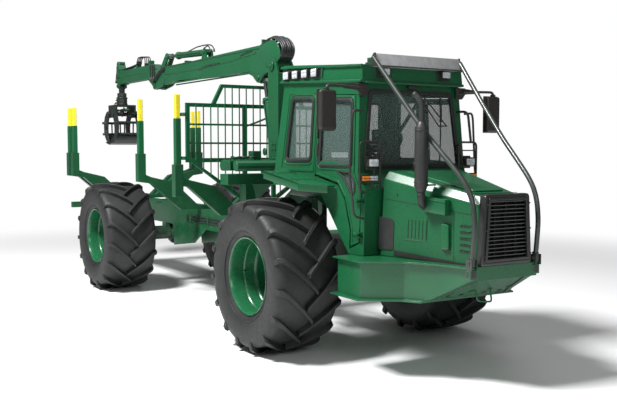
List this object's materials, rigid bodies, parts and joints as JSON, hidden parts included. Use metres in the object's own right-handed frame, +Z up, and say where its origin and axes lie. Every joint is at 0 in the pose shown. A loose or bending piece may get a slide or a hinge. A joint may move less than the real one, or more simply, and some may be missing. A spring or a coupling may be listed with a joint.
{
  "type": "forestry forwarder",
  "caption": "Articulated four-wheel timber carrier with a glazed cab, a bed of bunks and stakes, and a folding loading crane with a grapple.",
  "frame": {"origin": "on the ground, at the middle of the overall length and width", "axes": "+X forward, +Y to the driver's left, +Z up"},
  "size_m": [9.39, 2.6622, 3.43],
  "materials": {
    "tyre": "matte rubber",
    "rim": "satin paint",
    "frame_paint": "satin paint",
    "body_paint": "satin paint",
    "crane_paint": "satin paint",
    "axle_paint": "satin paint over casting",
    "engine": "dull casting",
    "exhaust": "matte heat-proof paint",
    "grille_black": "satin black paint",
    "guard_paint": "satin dark paint",
    "glass": "clear tinted glass",
    "seat_cloth": "woven cloth over foam",
    "dark_plastic": "grained plastic",
    "lamp": "clear lens in a dark housing",
    "stake_paint": "satin paint with yellow tips",
    "rod_chrome": "polished hard chrome",
    "grapple_paint": "worn dark paint"
  },
  "bodies": {
    "front_unit": {"front_frame": "frame_paint", "front_axle": "axle_paint", "engine_block": "engine", "hood": "body_paint", "grille": "grille_black", "exhaust_stack": "exhaust", "front_platform": "frame_paint", "front_guard": "guard_paint", "cab_shell": "body_paint", "cab_roof": "body_paint", "cab_glass": "glass", "seat": "seat_cloth", "controls": "dark_plastic", "fenders": "body_paint", "lamps": "lamp", "mirrors": "dark_plastic"},
    "door_left": {"door_left": "body_paint", "door_glass_left": "glass"},
    "door_right": {"door_right": "body_paint", "door_glass_right": "glass"},
    "rear_unit": {"rear_frame": "frame_paint", "tail_member": "frame_paint", "rear_axle": "axle_paint", "rear_lamps": "lamp", "bunks": "frame_paint", "stakes": "stake_paint", "headboard": "frame_paint", "crane_base": "crane_paint"},
    "crane_column": {"crane_column": "crane_paint"},
    "boom": {"boom": "crane_paint"},
    "stick": {"stick": "crane_paint"},
    "extension": {"extension": "crane_paint"},
    "hanger": {"hanger": "grapple_paint"},
    "grapple_frame": {"grapple_frame": "grapple_paint"},
    "jaw_a": {"jaw_a": "grapple_paint"},
    "jaw_b": {"jaw_b": "grapple_paint"},
    "wheel_front_left": {"tyre_front_left": "tyre", "rim_front_left": "rim"},
    "wheel_front_right": {"tyre_front_right": "tyre", "rim_front_right": "rim"},
    "wheel_rear_left": {"tyre_rear_left": "tyre", "rim_rear_left": "rim"},
    "wheel_rear_right": {"tyre_rear_right": "tyre", "rim_rear_right": "rim"},
    "lift_barrel": {"lift_barrel": "crane_paint"},
    "lift_rod": {"lift_rod": "rod_chrome"},
    "fold_barrel": {"fold_barrel": "crane_paint"},
    "fold_rod": {"fold_rod": "rod_chrome"},
    "grapple_barrel": {"grapple_barrel": "grapple_paint"},
    "grapple_rod": {"grapple_rod": "rod_chrome"},
    "steer_left_barrel": {"steer_left_barrel": "frame_paint"},
    "steer_left_rod": {"steer_left_rod": "rod_chrome"},
    "steer_right_barrel": {"steer_right_barrel": "frame_paint"},
    "steer_right_rod": {"steer_right_rod": "rod_chrome"}
  },
  "joints": [
    {"name": "wheel_spin_front_left", "type": "hinge", "parent": "front_unit", "child": "wheel_front_left", "pos_m": [2.525, 0.975, 0.74858], "axis": [0, 1, 0], "continuous": true},
    {"name": "wheel_spin_front_right", "type": "hinge", "parent": "front_unit", "child": "wheel_front_right", "pos_m": [2.525, -0.975, 0.74858], "axis": [0, 1, 0], "continuous": true},
    {"name": "wheel_spin_rear_left", "type": "hinge", "parent": "rear_unit", "child": "wheel_rear_left", "pos_m": [-1.965, 0.975, 0.74858], "axis": [0, 1, 0], "continuous": true},
    {"name": "wheel_spin_rear_right", "type": "hinge", "parent": "rear_unit", "child": "wheel_rear_right", "pos_m": [-1.965, -0.975, 0.74858], "axis": [0, 1, 0], "continuous": true},
    {"name": "steering", "type": "hinge", "parent": "front_unit", "child": "rear_unit", "pos_m": [1.475, 0, 0.935], "axis": [0, 0, 1], "range_deg": [-38, 38]},
    {"name": "door_left_swing", "type": "hinge", "parent": "front_unit", "child": "door_left", "pos_m": [3.528, 0.69, 1.6], "axis": [0, 0, -1], "range_deg": [0, 60]},
    {"name": "door_right_swing", "type": "hinge", "parent": "front_unit", "child": "door_right", "pos_m": [3.528, -0.69, 1.6], "axis": [0, 0, 1], "range_deg": [0, 60]},
    {"name": "slew", "type": "hinge", "parent": "rear_unit", "child": "crane_column", "pos_m": [1.025, 0, 1.8], "axis": [0, 0, 1], "range_deg": [-190, 190]},
    {"name": "boom_lift", "type": "hinge", "parent": "crane_column", "child": "boom", "pos_m": [1.005, 0, 2.925], "axis": [0, 1, 0], "range_deg": [0, 58]},
    {"name": "stick_fold", "type": "hinge", "parent": "boom", "child": "stick", "pos_m": [-2.665, 0, 2.94], "axis": [0, -1, 0], "range_deg": [0, 25]},
    {"name": "stick_extend", "type": "slide", "parent": "stick", "child": "extension", "axis": [-1, 0, 0], "range_m": [0, 0.9]},
    {"name": "hanger_swing", "type": "hinge", "parent": "extension", "child": "hanger", "pos_m": [-4.345, 0, 3.02], "axis": [0, 1, 0], "range_deg": [-60, 60]},
    {"name": "grapple_turn", "type": "hinge", "parent": "hanger", "child": "grapple_frame", "pos_m": [-4.345, 0, 2.85], "axis": [0, 0, 1], "continuous": true},
    {"name": "jaw_a_open", "type": "hinge", "parent": "grapple_frame", "child": "jaw_a", "pos_m": [-4.215, 0, 2.545], "axis": [0, -1, 0], "range_deg": [0, 45]},
    {"name": "jaw_b_open", "type": "hinge", "parent": "grapple_frame", "child": "jaw_b", "pos_m": [-4.475, 0, 2.545], "axis": [0, 1, 0], "range_deg": [0, 45]},
    {"name": "lift_tilt", "type": "hinge", "parent": "crane_column", "child": "lift_barrel", "pos_m": [0.85, 0, 1.93], "axis": [0, 1, 0], "range_deg": [0, 7.86]},
    {"name": "lift_stroke", "type": "slide", "parent": "lift_barrel", "child": "lift_rod", "axis": [-0.2504, 0, 0.9681], "range_m": [0, 0.36364]},
    {"name": "fold_tilt", "type": "hinge", "parent": "boom", "child": "fold_barrel", "pos_m": [-0.975, 0, 3.275], "axis": [0, 1, 0], "range_deg": [0, 4.84]},
    {"name": "fold_stroke", "type": "slide", "parent": "fold_barrel", "child": "fold_rod", "axis": [-0.9991, 0, 0.0423], "range_m": [0, 0.21334]},
    {"name": "grapple_tilt", "type": "hinge", "parent": "jaw_a", "child": "grapple_barrel", "pos_m": [-4.145, 0, 2.612], "axis": [0, -1, 0], "range_deg": [-45.3, 0]},
    {"name": "grapple_stroke", "type": "slide", "parent": "grapple_barrel", "child": "grapple_rod", "axis": [-1, 0, 0], "range_m": [-0.13776, 0]},
    {"name": "steer_left_tilt", "type": "hinge", "parent": "front_unit", "child": "steer_left_barrel", "pos_m": [2.025, 0.38, 0.945], "axis": [0, 0, 1], "range_deg": [-18.16, 18.16]},
    {"name": "steer_left_stroke", "type": "slide", "parent": "steer_left_barrel", "child": "steer_left_rod", "axis": [-0.9992, 0.04, 0], "range_m": [-0.26397, 0.26397]},
    {"name": "steer_right_tilt", "type": "hinge", "parent": "front_unit", "child": "steer_right_barrel", "pos_m": [2.025, -0.38, 0.945], "axis": [0, 0, 1], "range_deg": [-18.16, 18.16]},
    {"name": "steer_right_stroke", "type": "slide", "parent": "steer_right_barrel", "child": "steer_right_rod", "axis": [-0.9992, -0.04, 0], "range_m": [-0.26397, 0.26397]}
  ],
  "couplings": [
    {"joint": "jaw_b_open", "follows": "jaw_a_open", "ratio": 1},
    {"joint": "lift_tilt", "follows": "boom_lift", "ratio": 0.13027},
    {"joint": "lift_stroke", "follows": "boom_lift", "m_per_rad": 0.35725},
    {"joint": "fold_tilt", "follows": "stick_fold", "ratio": 0.1815},
    {"joint": "fold_stroke", "follows": "stick_fold", "m_per_rad": 0.48436},
    {"joint": "grapple_tilt", "follows": "jaw_a_open", "ratio": -1},
    {"joint": "grapple_stroke", "follows": "jaw_a_open", "m_per_rad": -0.17285},
    {"joint": "steer_left_tilt", "follows": "steering", "ratio": 0.47},
    {"joint": "steer_left_stroke", "follows": "steering", "m_per_rad": 0.395},
    {"joint": "steer_right_tilt", "follows": "steering", "ratio": 0.47},
    {"joint": "steer_right_stroke", "follows": "steering", "m_per_rad": -0.395}
  ]
}
